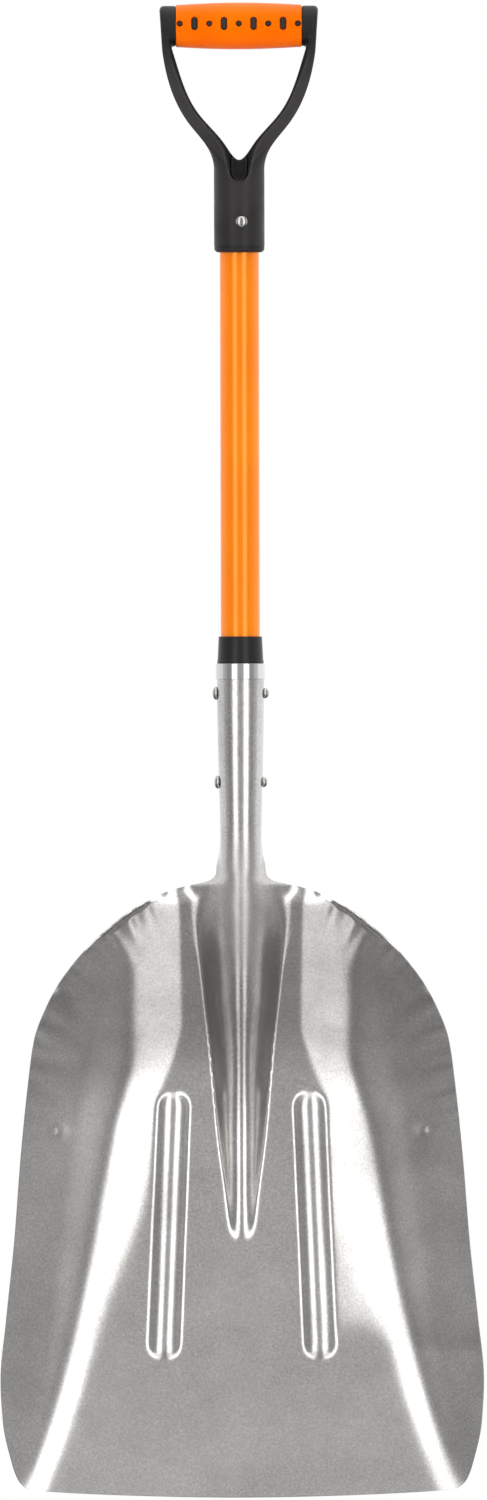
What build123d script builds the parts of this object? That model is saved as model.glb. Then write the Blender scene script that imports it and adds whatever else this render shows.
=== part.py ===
from build123d import *
from math import cos, pi, sin, sqrt
import os

# Aluminium scoop shovel, built upright. Millimetres, +Z up along the shaft, and the
# scooping face of the blade looks toward -Y. The front edge of the blade rests on Z = 0.

# ---- blade sheet -----------------------------------------------------------------------
SHEET = 1.4
FLOOR_TIP_Y = -30.0
FLOOR_LIFT = 0.26
HEEL_Z = 345.0
HEEL_ROUND = 38.0
REAR_SLOPE = 0.64
SHOULDER_Z = 486.0
SHOULDER_ROUND = 5.0
SHOULDER_SLOPE = 0.40
INNER_WALL_SLOPE = 0.24
OUTER_WALL_ROUND = 8.0
CREASE_ROUND = 4.0
EDGE_BOW = 5.5
EDGE_HALF = 172.5
CORNER = (178.5, 10.0)
EDGE_WASTE_DEPTH = 100.0

# Station tables along the height of the blade, as (Z, value).
HALF_WIDTH = [
    (0, 174), (14, 181), (30, 187), (62, 193.5), (95, 195.2), (143, 190.7), (208, 183.8), (273, 178.7),
    (338, 172), (370, 167.4), (403, 154.6), (435, 133), (467, 99), (484, 73), (494, 51), (500, 28),
    (506, 21.5), (520, 18),
]
INNER_FOLD = [
    (0, 158), (60, 136), (156, 109), (216, 86), (252, 76), (300, 71), (324, 67), (356, 55), (384, 48.5),
    (480, 50),
]
INNER_ROUND = [(0, 12), (160, 14), (230, 10), (300, 8), (380, 6)]
OUTER_FOLD = [
    (0, 184), (60, 162), (156, 135), (252, 116), (300, 107), (330, 98), (360, 91), (430, 91), (480, 88),
]
OUTER_WALL_SLOPE = [(0, 0.46), (290, 0.58), (400, 0.44)]
CREASE_LINE = [
    (0, 178), (54, 171), (119, 156), (200, 145), (273, 137), (345, 124), (417, 108), (460, 100),
]
CREASE_EASE = [(0, 0.13), (290, 0.18), (400, 0.10)]
FROG_HALF_WIDTH = [
    (200, 9), (235, 11.5), (294, 18.7), (370, 25.7), (404, 29.5), (438, 34.5), (476, 46), (500, 52),
]
FROG_HEIGHT = [
    (200, 2.5), (235, 6.5), (294, 18), (370, 33.9), (400, 35.1), (433, 33.2), (464, 27.5), (490, 21.7),
    (512, 22.7),
]
FROG_FULLNESS = [(400, 1.0), (440, 1.6), (476, 3.2), (500, 5.5)]
FROG_FILLET = [(400, 3.0), (440, 1.6), (476, 0.4)]
FROG_TIP_Z = 214.0
FROG_TIP_ROUND = 8.0
FROG_TIP_SLOPE = 0.45

# ---- pressed stiffening ribs either side of the frog -----------------------------------
RIB_TOP = (55.0, 316.0)
RIB_BOTTOM = (63.0, 124.0)
RIB_HALF_WIDTH = 13.0
RIB_HEIGHT = 5.2
RIB_FILLET = 1.6

# ---- socket rolled from the top of the sheet ----------------------------------------------
SOCKET_RADII = [(490, 16.6), (534, 16.6), (579, 17.7), (613, 18.45), (655, 19.1), (675, 19.1)]
SOCKET_TOP_Z = 675.0
# How far the two flaps behind the front half are curled, 1 being all the way round.
FLAP_CURL = [
    (490, -2.2), (508, -1.9), (520, -0.4), (534, 0.15), (552, 0.8), (564, 1.0), (675, 1.0),
]
FLAP_LENGTH = [(490, 0.25), (508, 0.3), (534, 0.55), (552, 0.8), (564, 0.96), (675, 0.96)]
ROLL_START_Z = 490.0
ROLL_END_Z = 512.0
FIT_GAP = 0.1
FLAT_TURN = 1e-4

# ---- sampling of the pressed sheet ------------------------------------------------------
GRID_COLUMNS = 60
GRID_ROWS = 96
GRID_EVEN = 0.55
LEVEL_LIMIT = 0.45
STEP = 0.02

# ---- ring over the mouth of the socket ------------------------------------------------------
RING_BOTTOM_Z = 662.3
RING_OUTER_R = 20.05
RING_CHAMFER = 0.3

# ---- collar, shaft and plugs ---------------------------------------------------------------
SHAFT_R = 15.9
SHAFT_WALL = 3.2
SHAFT_BOTTOM_Z = 568.0
SHAFT_TOP_Z = 1058.0
SHAFT_CHAMFER = 0.8
COLLAR_SLEEVE_Z = (600.0, 613.0, 655.0)
COLLAR_LIP_R = 18.85
COLLAR_LIP_TOP_Z = 677.5
COLLAR_WAIST_R = 18.5
COLLAR_TOP_R = 17.6
COLLAR_TOP_Z = 697.0
COLLAR_WAIST_STEP = 0.5
COLLAR_TOP_BEVEL = (0.5, 0.6)
LOWER_PLUG_Z = (570.0, 664.0)
UPPER_PLUG_Z = (1012.0, 1056.0)

# ---- rivets --------------------------------------------------------------------------------
SHANK_R = 2.6
SOCKET_RIVETS = [(579.0, 17.85), (651.0, 19.15)]
# Heads, as (radius, height).
TRUSS_HEAD = (5.3, 3.6)
DOME_HEAD = (4.2, 3.9)
HANDLE_RIVET_X = 1.8
HANDLE_RIVET_Z = 1033.0
HANDLE_HEAD = (4.85, 3.0)
CROWN_OUT = 0.55
DOME_CROWN = 0.72
TRUSS_CROWN = 0.66
# Directions in which the two head outlines leave their rims.
DOME_RIM = (-0.35, 1)
TRUSS_RIM = (-0.25, -0.2)

# ---- D handle ------------------------------------------------------------------------------
HANDLE_SOCKET_R = 20.5
HANDLE_SOCKET_Z = 1008.0
HANDLE_SOCKET_ROUND = 3.6
GRIP_Z = 1191.5
HUB_R = 16.4
HUB_OUTER_X = 64.0
# Outer ends of the hubs lean in toward the arms: (|X|, Z) from below the hub to above it.
HUB_END = [(61.4, 1160), (64.7, 1211)]
HANDLE_CLEAR = 75.0
GRIP_HALF = 51.0
CORE_R = 13.0
GRIP_END_R = 17.0
GRIP_MID_R = 18.9
ARM_OUTSIDE = [(64, 1191.5), (62.2, 1172), (54.3, 1138), (40.3, 1112), (25.4, 1092.7), (20.5, 1072)]
ARM_INSIDE = [(57.5, 1184), (49.4, 1157.5), (33.8, 1122), (19.5, 1105.5), (11.1, 1095), (0, 1083)]
ARM_DEPTH = [(15.6, 1191.5), (12.5, 1150), (13.5, 1112), (20.5, 1076)]
FLARE = [(20.5, 1074), (23.0, 1084), (40.0, 1104), (90.0, 1130)]
ARM_BASE_OVERLAP = 5.0
POCKET_HALF_WIDTH = 7.2
POCKET_BOTTOM_Z = 1066.0
POCKET_LENGTH = 40.0
POCKET_WEB = 7.5
STUD_RISE = 2.0
STUD_PITCH = 11.95
STUD_COUNT = 9
STUD_R = 2.5
SLOT_LENGTH = 10.8
SLOT_WIDTH = 5.3
STUD_BELOW = 0.45


def ramp(t, width):
    return (t + sqrt(t * t + width * width)) / 2


def station(z, table):
    """Smooth value of a station table at a height, held level past both ends."""
    if z <= table[0][0]:
        return table[0][1]
    if z >= table[-1][0]:
        return table[-1][1]
    slopes = [(after - before) / (high - low) for (low, before), (high, after) in zip(table, table[1:])]
    index = max(i for i, (low, _) in enumerate(table) if low <= z)
    tangents = []
    for i in (index, index + 1):
        near = slopes[max(0, i - 1)], slopes[min(len(slopes) - 1, i)]
        tangents.append(2 * near[0] * near[1] / (near[0] + near[1]) if near[0] * near[1] > 0 else 0)
    (low, before), (high, after) = table[index], table[index + 1]
    t = (z - low) / (high - low)
    rise = (after - before) * t * t * (3 - 2 * t)
    return before + rise + (high - low) * t * (1 - t) * (tangents[0] * (1 - t) - tangents[1] * t)


def bowl_y(x, z):
    """Face of the bowl before the frog and ribs are pressed into it."""
    out = abs(x)
    wall = INNER_WALL_SLOPE * ramp(out - station(z, INNER_FOLD), station(z, INNER_ROUND))
    wall += station(z, OUTER_WALL_SLOPE) * ramp(out - station(z, OUTER_FOLD), OUTER_WALL_ROUND)
    wall -= station(z, CREASE_EASE) * ramp(out - station(z, CREASE_LINE), CREASE_ROUND)
    rear = REAR_SLOPE * ramp(z - HEEL_Z, HEEL_ROUND)
    shoulder = SHOULDER_SLOPE * ramp(z - SHOULDER_Z, SHOULDER_ROUND)
    return FLOOR_TIP_Y + FLOOR_LIFT * z - wall - rear + shoulder


def frog_rise(x, z):
    """Height of the hollow ridge that runs down from the socket."""
    share = 1 - (x / station(z, FROG_HALF_WIDTH)) ** 2
    if share > 0:
        share = share ** station(z, FROG_FULLNESS)
    fade = FROG_TIP_SLOPE * ramp(FROG_TIP_Z - z, FROG_TIP_ROUND)
    return ramp(station(z, FROG_HEIGHT) * share - fade, station(z, FROG_FILLET))


def rib_rise(x, z):
    """Height of the pair of straight ribs, measured from their centre lines."""
    run_x = RIB_BOTTOM[0] - RIB_TOP[0]
    run_z = RIB_BOTTOM[1] - RIB_TOP[1]
    off_x = abs(x) - RIB_TOP[0]
    off_z = z - RIB_TOP[1]
    along = (off_x * run_x + off_z * run_z) / (run_x ** 2 + run_z ** 2)
    along = min(1, max(0, along))
    gap = (off_x - along * run_x) ** 2 + (off_z - along * run_z) ** 2
    return ramp(RIB_HEIGHT * (1 - gap / RIB_HALF_WIDTH ** 2), RIB_FILLET)


def bowl_point(s, z):
    """Point of the pressed bowl at a share s of its half width."""
    x = station(z, HALF_WIDTH) * (GRID_EVEN * s + (1 - GRID_EVEN) * s ** 3)
    return Vector(x, bowl_y(x, z) - frog_rise(x, z) - rib_rise(x, z), z)


def rolled_point(s, z):
    """Point of the rolled socket: a front half circle, then a flap that curls behind it."""
    radius = station(z, SOCKET_RADII)
    quarter = radius * pi / 2
    along = abs(s) * quarter * (1 + station(z, FLAP_LENGTH))
    side = 1 if s >= 0 else -1
    if along <= quarter:
        return Vector(side * radius * sin(along / radius), -radius * cos(along / radius), z)
    curl = station(z, FLAP_CURL) / radius
    turn = curl * (along - quarter)
    if abs(turn) < FLAT_TURN:
        return Vector(side * radius, along - quarter, z)
    return Vector(side * (radius - (1 - cos(turn)) / curl), sin(turn) / curl, z)


def sheet_point(s, z):
    """Front of the one sheet that is bowl below and socket above."""
    share = min(1, max(0, (z - ROLL_START_Z) / (ROLL_END_Z - ROLL_START_Z)))
    share = share * share * (3 - 2 * share)
    if share == 0:
        return bowl_point(s, z)
    if share == 1:
        return rolled_point(s, z)
    return bowl_point(s, z) * (1 - share) + rolled_point(s, z) * share


def back_point(s, z):
    """Point behind the front at the same height, so that the sheet keeps its thickness."""
    across = sheet_point(s + STEP, z) - sheet_point(s - STEP, z)
    along = sheet_point(s, z + STEP) - sheet_point(s, z - STEP)
    normal = along.cross(across).normalized()
    level = Vector(normal.X, normal.Y, 0)
    return sheet_point(s, z) + level.normalized() * SHEET / max(level.length, LEVEL_LIMIT)


def row_heights():
    """Heights of the grid rows, spaced evenly along the outline of the sheet."""
    steps = [i for i in range(int(SOCKET_TOP_Z) + 1)]
    travel = [0]
    for low, high in zip(steps, steps[1:]):
        travel.append(travel[-1] + sqrt(1 + (station(high, HALF_WIDTH) - station(low, HALF_WIDTH)) ** 2))
    heights = []
    for row in range(GRID_ROWS + 1):
        target = travel[-1] * row / GRID_ROWS
        index = max(i for i in range(len(steps) - 1) if travel[i] <= target)
        share = (target - travel[index]) / (travel[index + 1] - travel[index])
        heights.append(steps[index] + share)
    return heights


def mirrored(points):
    return [(-x, z) for x, z in reversed(points)]


def cross_hole(height):
    """Cuts the hole of a socket rivet, which runs side to side, from the part being built."""
    with BuildSketch(Plane.YZ) as bore:
        with Locations((0, height)):
            Circle(SHANK_R)
    extrude(bore.sketch, amount=2 * SHAFT_R, both=True, mode=Mode.SUBTRACT)


def handle_rivet_hole():
    """Cuts the hole of the handle rivet, which runs front to back, from the part being built."""
    with BuildSketch(Plane.XZ) as bore:
        with Locations((HANDLE_RIVET_X, HANDLE_RIVET_Z)):
            Circle(SHANK_R)
    extrude(bore.sketch, amount=2 * HANDLE_SOCKET_R, both=True, mode=Mode.SUBTRACT)


# ---- blade: one pressed sheet with the socket rolled from it ---------------------------
shares = [2 * column / GRID_COLUMNS - 1 for column in range(GRID_COLUMNS + 1)]

with BuildPart() as blade:
    for height in row_heights():
        with BuildSketch(Plane.XY.offset(height)):
            with BuildLine():
                front = Spline(*[(sheet_point(s, height).X, sheet_point(s, height).Y) for s in shares])
                back = Spline(*[(back_point(s, height).X, back_point(s, height).Y) for s in shares])
                Line(front @ 0, back @ 0)
                Line(front @ 1, back @ 1)
            make_face()
    loft(ruled=True)
    with BuildSketch(Plane.XZ.offset(EDGE_WASTE_DEPTH)):
        with BuildLine():
            ThreePointArc((-EDGE_HALF, EDGE_BOW), (0, 0), (EDGE_HALF, EDGE_BOW))
            right = [(EDGE_HALF, EDGE_BOW), CORNER, (2 * CORNER[0], CORNER[1]), (2 * CORNER[0], -CORNER[1])]
            Polyline(*right, *mirrored(right))
        make_face()
    extrude(amount=-2 * EDGE_WASTE_DEPTH, mode=Mode.SUBTRACT)
    for height, _ in SOCKET_RIVETS:
        cross_hole(height)

# ---- ring pressed over the mouth of the socket ------------------------------------------
with BuildPart() as socket_ring:
    with BuildSketch(Plane.XY.offset(RING_BOTTOM_Z)):
        Circle(RING_OUTER_R)
        Circle(SOCKET_RADII[-1][1] + FIT_GAP, mode=Mode.SUBTRACT)
    extrude(amount=SOCKET_TOP_Z - RING_BOTTOM_Z)
    outer_edges = socket_ring.edges().filter_by(GeomType.CIRCLE).sort_by(SortBy.RADIUS)[-2:]
    chamfer(outer_edges, RING_CHAMFER)

# ---- black wedge collar between socket and shaft ------------------------------------------
def socket_bore(z):
    """Inner radius of the rolled socket, less the fitting gap."""
    return station(z, SOCKET_RADII) - SHEET - FIT_GAP


with BuildPart() as socket_collar:
    with BuildSketch(Plane.XZ):
        with BuildLine():
            Polyline(
                (SHAFT_R, COLLAR_SLEEVE_Z[0]),
                *[(socket_bore(z), z) for z in COLLAR_SLEEVE_Z],
                (socket_bore(SOCKET_TOP_Z), SOCKET_TOP_Z),
                (COLLAR_LIP_R, SOCKET_TOP_Z),
                (COLLAR_LIP_R, COLLAR_LIP_TOP_Z),
                (COLLAR_WAIST_R, COLLAR_LIP_TOP_Z + COLLAR_WAIST_STEP),
                (COLLAR_TOP_R, COLLAR_TOP_Z - COLLAR_TOP_BEVEL[1]),
                (COLLAR_TOP_R - COLLAR_TOP_BEVEL[0], COLLAR_TOP_Z),
                (SHAFT_R, COLLAR_TOP_Z),
                close=True,
            )
        make_face()
    revolve(axis=Axis.Z)
    cross_hole(SOCKET_RIVETS[1][0])

# ---- shaft tube --------------------------------------------------------------------------
with BuildPart() as shaft:
    with BuildSketch(Plane.XY.offset(SHAFT_BOTTOM_Z)):
        Circle(SHAFT_R)
    extrude(amount=SHAFT_TOP_Z - SHAFT_BOTTOM_Z)
    chamfer(shaft.edges().filter_by(GeomType.CIRCLE), SHAFT_CHAMFER)
    with BuildSketch(Plane.XY.offset(SHAFT_BOTTOM_Z)):
        Circle(SHAFT_R - SHAFT_WALL)
    extrude(amount=SHAFT_TOP_Z - SHAFT_BOTTOM_Z, mode=Mode.SUBTRACT)
    for height, _ in SOCKET_RIVETS:
        cross_hole(height)
    handle_rivet_hole()

# ---- solid plugs inside the tube where the rivets cross it --------------------------------
with BuildPart() as lower_core_plug:
    with BuildSketch(Plane.XY.offset(LOWER_PLUG_Z[0])):
        Circle(SHAFT_R - SHAFT_WALL)
    extrude(amount=LOWER_PLUG_Z[1] - LOWER_PLUG_Z[0])
    for height, _ in SOCKET_RIVETS:
        cross_hole(height)

with BuildPart() as upper_core_plug:
    with BuildSketch(Plane.XY.offset(UPPER_PLUG_Z[0])):
        Circle(SHAFT_R - SHAFT_WALL)
    extrude(amount=UPPER_PLUG_Z[1] - UPPER_PLUG_Z[0])
    handle_rivet_hole()


def rivet_profile(left, right, left_head, right_head):
    """Half section of a rivet about its own axis, with a head (radius, height) at both ends."""
    left_radius, left_height = left_head
    right_radius, right_height = right_head
    left_tip = left - left_height
    right_tip = right + right_height
    left_crown = (left - CROWN_OUT * left_height, TRUSS_CROWN * left_radius)
    right_crown = (right + CROWN_OUT * right_height, DOME_CROWN * right_radius)
    Line((left_tip, 0), (right_tip, 0))
    Spline((right_tip, 0), right_crown, (right, right_radius), tangents=((0, 1), DOME_RIM))
    Line((right, right_radius), (right, SHANK_R))
    Line((right, SHANK_R), (left, SHANK_R))
    Line((left, SHANK_R), (left, left_radius))
    Spline((left, left_radius), left_crown, (left_tip, 0), tangents=(TRUSS_RIM, (0, -1)))


# ---- two cross rivets through socket, collar, shaft and plug ------------------------------
with BuildPart() as socket_rivets:
    for height, reach in SOCKET_RIVETS:
        with BuildSketch(Plane.XY.offset(height)):
            with BuildLine():
                rivet_profile(-reach, reach, TRUSS_HEAD, DOME_HEAD)
            make_face()
        revolve(axis=Axis((0, 0, height), (1, 0, 0)))

# ---- rivet through the handle socket, front to back ----------------------------------------
with BuildPart() as handle_rivet:
    with BuildSketch(Plane((HANDLE_RIVET_X, 0, HANDLE_RIVET_Z), x_dir=(0, -1, 0), z_dir=(0, 0, 1))):
        with BuildLine():
            rivet_profile(-HANDLE_SOCKET_R, HANDLE_SOCKET_R, HANDLE_HEAD, HANDLE_HEAD)
        make_face()
    revolve(axis=Axis((HANDLE_RIVET_X, 0, HANDLE_RIVET_Z), (0, 1, 0)))


def stud_places(round_ones):
    """Places along the grip: round studs and upright slots take turns, round at both ends."""
    middle = (STUD_COUNT - 1) / 2
    wanted = [i for i in range(STUD_COUNT) if (i % 2 == 0) == round_ones]
    return [((i - middle) * STUD_PITCH, GRIP_Z + STUD_RISE) for i in wanted]


def stud_sketch():
    with Locations(*stud_places(True)):
        Circle(STUD_R)
    with Locations(*stud_places(False)):
        SlotOverall(SLOT_LENGTH, SLOT_WIDTH, rotation=90)


def arm_outline():
    """Front view of the two arms, from hub to hub."""
    hub_x, hub_z = ARM_INSIDE[0]
    Line((-HUB_OUTER_X, GRIP_Z), (-hub_x, GRIP_Z))
    Line((-hub_x, GRIP_Z), (-hub_x, hub_z))
    Spline(*reversed(mirrored(ARM_INSIDE)), *reversed(ARM_INSIDE[:-1]))
    Line((hub_x, hub_z), (hub_x, GRIP_Z))
    Line((hub_x, GRIP_Z), (HUB_OUTER_X, GRIP_Z))
    Spline(*ARM_OUTSIDE)
    Line(ARM_OUTSIDE[-1], (-ARM_OUTSIDE[-1][0], ARM_OUTSIDE[-1][1]))
    Spline(*mirrored(ARM_OUTSIDE))


def arm_side_view():
    """Side view of the arms, thinner toward the grip."""
    foot = (ARM_DEPTH[-1][0], ARM_OUTSIDE[-1][1])
    Spline(*ARM_DEPTH)
    Line(ARM_DEPTH[-1], foot)
    Line(foot, (-foot[0], foot[1]))
    Line((-foot[0], foot[1]), (-ARM_DEPTH[-1][0], ARM_DEPTH[-1][1]))
    Spline(*mirrored(ARM_DEPTH))
    Line((-ARM_DEPTH[0][0], ARM_DEPTH[0][1]), ARM_DEPTH[0])


def flare_section():
    """Half section of the trumpet shape that blends the arms into the round socket."""
    foot_z = ARM_OUTSIDE[-1][1] - ARM_BASE_OVERLAP
    top_z = GRIP_Z + HUB_R
    Line((0, foot_z), (HANDLE_SOCKET_R, foot_z))
    Line((HANDLE_SOCKET_R, foot_z), FLARE[0])
    Spline(*FLARE)
    Line(FLARE[-1], (FLARE[-1][0], top_z))
    Line((FLARE[-1][0], top_z), (0, top_z))
    Line((0, top_z), (0, foot_z))


# ---- D handle: socket, two arms and the bar inside the grip --------------------------------
with BuildPart() as d_handle_yoke:
    with BuildSketch(Plane.XZ):
        with BuildLine():
            arm_outline()
        make_face()
    extrude(amount=2 * HANDLE_SOCKET_R, both=True)
    with BuildSketch(Plane.YZ):
        with BuildLine():
            arm_side_view()
        make_face()
    extrude(amount=2 * HUB_OUTER_X, both=True, mode=Mode.INTERSECT)
    with BuildSketch(Plane.XZ):
        with BuildLine():
            flare_section()
        make_face()
    revolve(axis=Axis.Z, mode=Mode.INTERSECT)
    with BuildSketch(Plane.XY.offset(HANDLE_SOCKET_Z)):
        Circle(HANDLE_SOCKET_R)
    extrude(amount=ARM_OUTSIDE[-1][1] - HANDLE_SOCKET_Z)
    bottom_edge = d_handle_yoke.edges().filter_by(GeomType.CIRCLE).sort_by(Axis.Z)[0]
    fillet(bottom_edge, HANDLE_SOCKET_ROUND)
    for hub_end in (-HUB_END[1][0], GRIP_HALF):
        with BuildSketch(Plane.YZ.offset(hub_end)):
            with Locations((0, GRIP_Z)):
                Circle(HUB_R)
        extrude(amount=HUB_END[1][0] - GRIP_HALF)
    with BuildSketch(Plane.XZ):
        hub_edge = [(HANDLE_CLEAR, HANDLE_SOCKET_Z), (HANDLE_CLEAR, HUB_END[0][1]), *HUB_END]
        with BuildLine():
            Polyline(*hub_edge, *mirrored(hub_edge), close=True)
        make_face()
    extrude(amount=2 * HANDLE_SOCKET_R, both=True, mode=Mode.INTERSECT)
    with BuildSketch(Plane.YZ):
        with Locations((0, GRIP_Z)):
            Circle(CORE_R)
    extrude(amount=GRIP_HALF, both=True)
    with BuildSketch(Plane.XZ):
        stud_sketch()
    extrude(amount=GRIP_END_R - STUD_BELOW)
    for side in (1, -1):
        with BuildSketch(Plane.XZ.offset(side * POCKET_WEB)):
            with Locations((0, POCKET_BOTTOM_Z + POCKET_LENGTH / 2)):
                SlotOverall(POCKET_LENGTH, 2 * POCKET_HALF_WIDTH, rotation=90)
        extrude(amount=side * 2 * HANDLE_SOCKET_R, mode=Mode.SUBTRACT)
    with BuildSketch(Plane.XY.offset(HANDLE_SOCKET_Z)):
        Circle(SHAFT_R)
    extrude(amount=SHAFT_TOP_Z - HANDLE_SOCKET_Z, mode=Mode.SUBTRACT)
    handle_rivet_hole()

# ---- orange sleeve moulded over the bar ----------------------------------------------------
with BuildPart() as grip_sleeve:
    with BuildSketch(Plane.XY.offset(GRIP_Z)):
        with BuildLine():
            Line((-GRIP_HALF, CORE_R), (-GRIP_HALF, GRIP_END_R))
            ThreePointArc((-GRIP_HALF, GRIP_END_R), (0, GRIP_MID_R), (GRIP_HALF, GRIP_END_R))
            Line((GRIP_HALF, GRIP_END_R), (GRIP_HALF, CORE_R))
            Line((GRIP_HALF, CORE_R), (-GRIP_HALF, CORE_R))
        make_face()
    revolve(axis=Axis((0, 0, GRIP_Z), (1, 0, 0)))
    with BuildSketch(Plane.XZ):
        stud_sketch()
    extrude(amount=2 * GRIP_MID_R, mode=Mode.SUBTRACT)


PIECES = {
    "blade": blade,
    "socket_ring": socket_ring,
    "socket_collar": socket_collar,
    "shaft": shaft,
    "lower_core_plug": lower_core_plug,
    "upper_core_plug": upper_core_plug,
    "socket_rivets": socket_rivets,
    "handle_rivet": handle_rivet,
    "d_handle_yoke": d_handle_yoke,
    "grip_sleeve": grip_sleeve,
}
os.makedirs("parts", exist_ok=True)
for name, piece in PIECES.items():
    piece.part.label = name
    export_step(piece.part, f"parts/{name}.step")
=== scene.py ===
import math

import bpy
import numpy as np
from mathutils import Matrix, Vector


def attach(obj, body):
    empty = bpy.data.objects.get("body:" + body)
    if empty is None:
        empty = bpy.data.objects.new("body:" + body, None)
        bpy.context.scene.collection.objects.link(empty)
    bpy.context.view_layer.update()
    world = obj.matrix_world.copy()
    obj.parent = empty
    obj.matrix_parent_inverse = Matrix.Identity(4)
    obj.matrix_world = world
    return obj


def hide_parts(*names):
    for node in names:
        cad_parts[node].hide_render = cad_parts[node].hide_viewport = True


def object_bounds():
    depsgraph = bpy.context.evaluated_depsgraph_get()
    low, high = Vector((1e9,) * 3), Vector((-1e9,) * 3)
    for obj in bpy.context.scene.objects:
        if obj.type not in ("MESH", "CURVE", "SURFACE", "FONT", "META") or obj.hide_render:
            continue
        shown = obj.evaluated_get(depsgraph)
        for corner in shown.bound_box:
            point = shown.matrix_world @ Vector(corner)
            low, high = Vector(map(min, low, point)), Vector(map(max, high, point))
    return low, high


# Looks for the scoop shovel. The formulas below are in millimetres, as in the part's source,
# and every mesh is brought to metres when it is made.

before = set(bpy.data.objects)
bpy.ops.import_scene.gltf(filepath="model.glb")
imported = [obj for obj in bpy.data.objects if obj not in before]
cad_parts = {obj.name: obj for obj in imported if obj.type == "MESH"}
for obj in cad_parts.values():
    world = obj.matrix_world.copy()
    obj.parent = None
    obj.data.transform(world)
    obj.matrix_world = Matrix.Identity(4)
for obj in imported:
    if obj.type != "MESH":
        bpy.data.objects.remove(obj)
cad_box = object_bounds()
MM = 0.001
SHARP_ANGLE = math.radians(38)

# ---- blade: the pressed sheet, section by section ------------------------------------------
SHEET = 1.4
FLOOR_TIP_Y = -30.0
FLOOR_LIFT = 0.26
HEEL_Z = 345.0
HEEL_ROUND = 38.0
REAR_SLOPE = 0.64
SHOULDER_Z = 486.0
SHOULDER_ROUND = 5.0
SHOULDER_SLOPE = 0.40
INNER_WALL_SLOPE = 0.24
OUTER_WALL_ROUND = 8.0
CREASE_ROUND = 3.0
EDGE_BOW = 5.5
EDGE_BOW_FADE_Z = 60.0

# Station tables along the height of the blade, as (Z, value).
HALF_WIDTH = [
    (0, 168), (2, 174), (10, 181), (29, 187), (62, 193.5), (95, 195.2), (143, 190.7), (208, 183.8),
    (273, 178.7), (338, 172), (370, 167.4), (403, 154.6), (435, 133), (467, 99), (484, 73), (494, 51),
    (500, 28), (506, 21.5), (520, 18),
]
INNER_FOLD = [
    (0, 161), (60, 138.5), (156, 110), (216, 86), (252, 76), (300, 71), (324, 67), (356, 55), (384, 48.5),
    (480, 50),
]
INNER_ROUND = [(0, 8), (110, 9), (160, 12), (230, 10), (300, 7), (380, 2.5)]
OUTER_FOLD = [
    (0, 180), (60, 158.5), (156, 133.5), (252, 116), (300, 107), (330, 98), (360, 91), (420, 91),
    (452, 97), (480, 106),
]
OUTER_WALL_SLOPE = [(0, 0.46), (290, 0.58), (400, 0.44)]
CREASE_LINE = [
    (0, 178), (54, 171), (119, 156), (200, 145), (273, 137), (345, 124), (417, 108), (460, 100),
]
CREASE_EASE = [(0, 0.13), (290, 0.18), (400, 0.10)]
FROG_HALF_WIDTH = [
    (200, 9), (235, 11.5), (294, 18.7), (370, 25.7), (404, 29.5), (438, 34.5), (476, 46), (500, 52),
]
FROG_HEIGHT = [
    (200, 2.5), (235, 6.5), (294, 18), (370, 33.9), (400, 35.1), (433, 33.2), (464, 27.5), (490, 21.7),
    (512, 22.7),
]
FROG_FULLNESS = [(400, 1.0), (440, 1.6), (476, 3.2), (500, 5.5)]
FROG_FILLET = [(400, 1.6), (440, 0.8), (476, 0.2)]
FROG_TIP_Z = 214.0
FROG_TIP_ROUND = 8.0
FROG_TIP_SLOPE = 0.45
RIB_TOP = (55.0, 316.0)
RIB_BOTTOM = (63.0, 124.0)
RIB_HALF_WIDTH = 13.0
RIB_HEIGHT = 5.2
RIB_FILLET = 0.6
SOCKET_RADII = [(490, 16.6), (534, 16.6), (579, 17.7), (613, 18.45), (655, 19.1), (675, 19.1)]
SOCKET_TOP_Z = 675.0
FLAP_CURL = [
    (490, -2.2), (508, -1.9), (520, -0.4), (534, 0.15), (552, 0.8), (564, 1.0), (675, 1.0),
]
# Least curl of a flap, per millimetre, so that it never divides by nothing.
LEAST_CURL = 1e-5
FLAP_LENGTH = [(490, 0.25), (508, 0.3), (534, 0.55), (552, 0.8), (564, 0.96), (675, 0.96)]
ROLL_START_Z = 490.0
ROLL_END_Z = 512.0
SHEET_COLUMNS = 168
SHEET_ROWS = 288
OUTLINE_SAMPLES = 2001
SHEET_EVEN = 0.55
RIM_BULGE = 0.35

# The right wall starts earlier than the left one over part of the height, as a softer slope.
RIGHT_EASE = [(118, 0), (148, 0.118), (200, 0.135), (250, 0.18), (290, 0.20), (315, 0)]
RIGHT_EASE_X = 68.0
RIGHT_EASE_ROUND = 4.0

# ---- small marks of the press on the sheet ---------------------------------------------------
DIMPLE = (146.0, 297.0)
DIMPLE_HEIGHT = 2.4
DIMPLE_SPREAD = 3.2
# Folds of the rear shoulders: where each meets the rim, its lean inward, length, width and depth.
WRINKLES = [
    (74.5, 480, 67, 36, 3.4, 0.9), (88.5, 470, 69, 24, 3.4, 0.5), (102, 460, 54, 34, 4.2, 0.8),
    (109, 454, 76, 26, 3.4, 0.5), (117, 445, 63, 24, 3.6, 0.5), (152, 405, 46, 42, 7.0, 0.9),
    (161, 386, 34, 38, 6.0, 0.7), (173, 330, 16, 30, 5.0, 0.5),
]
WRINKLE_BEFORE_RIM = 3.0
# Finer gathers, drawn at random between these limits: heights, lean, length, width, depth.
FINE_WRINKLE_SEED = 12
FINE_WRINKLE_COUNT = 19
FINE_WRINKLE_Z = (292.0, 486.0)
FINE_WRINKLE_LEAN = (8.0, 72.0)
FINE_WRINKLE_LENGTH = (18.0, 40.0)
FINE_WRINKLE_WIDTH = (1.7, 3.0)
FINE_WRINKLE_DEPTH = (0.12, 0.42)
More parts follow.
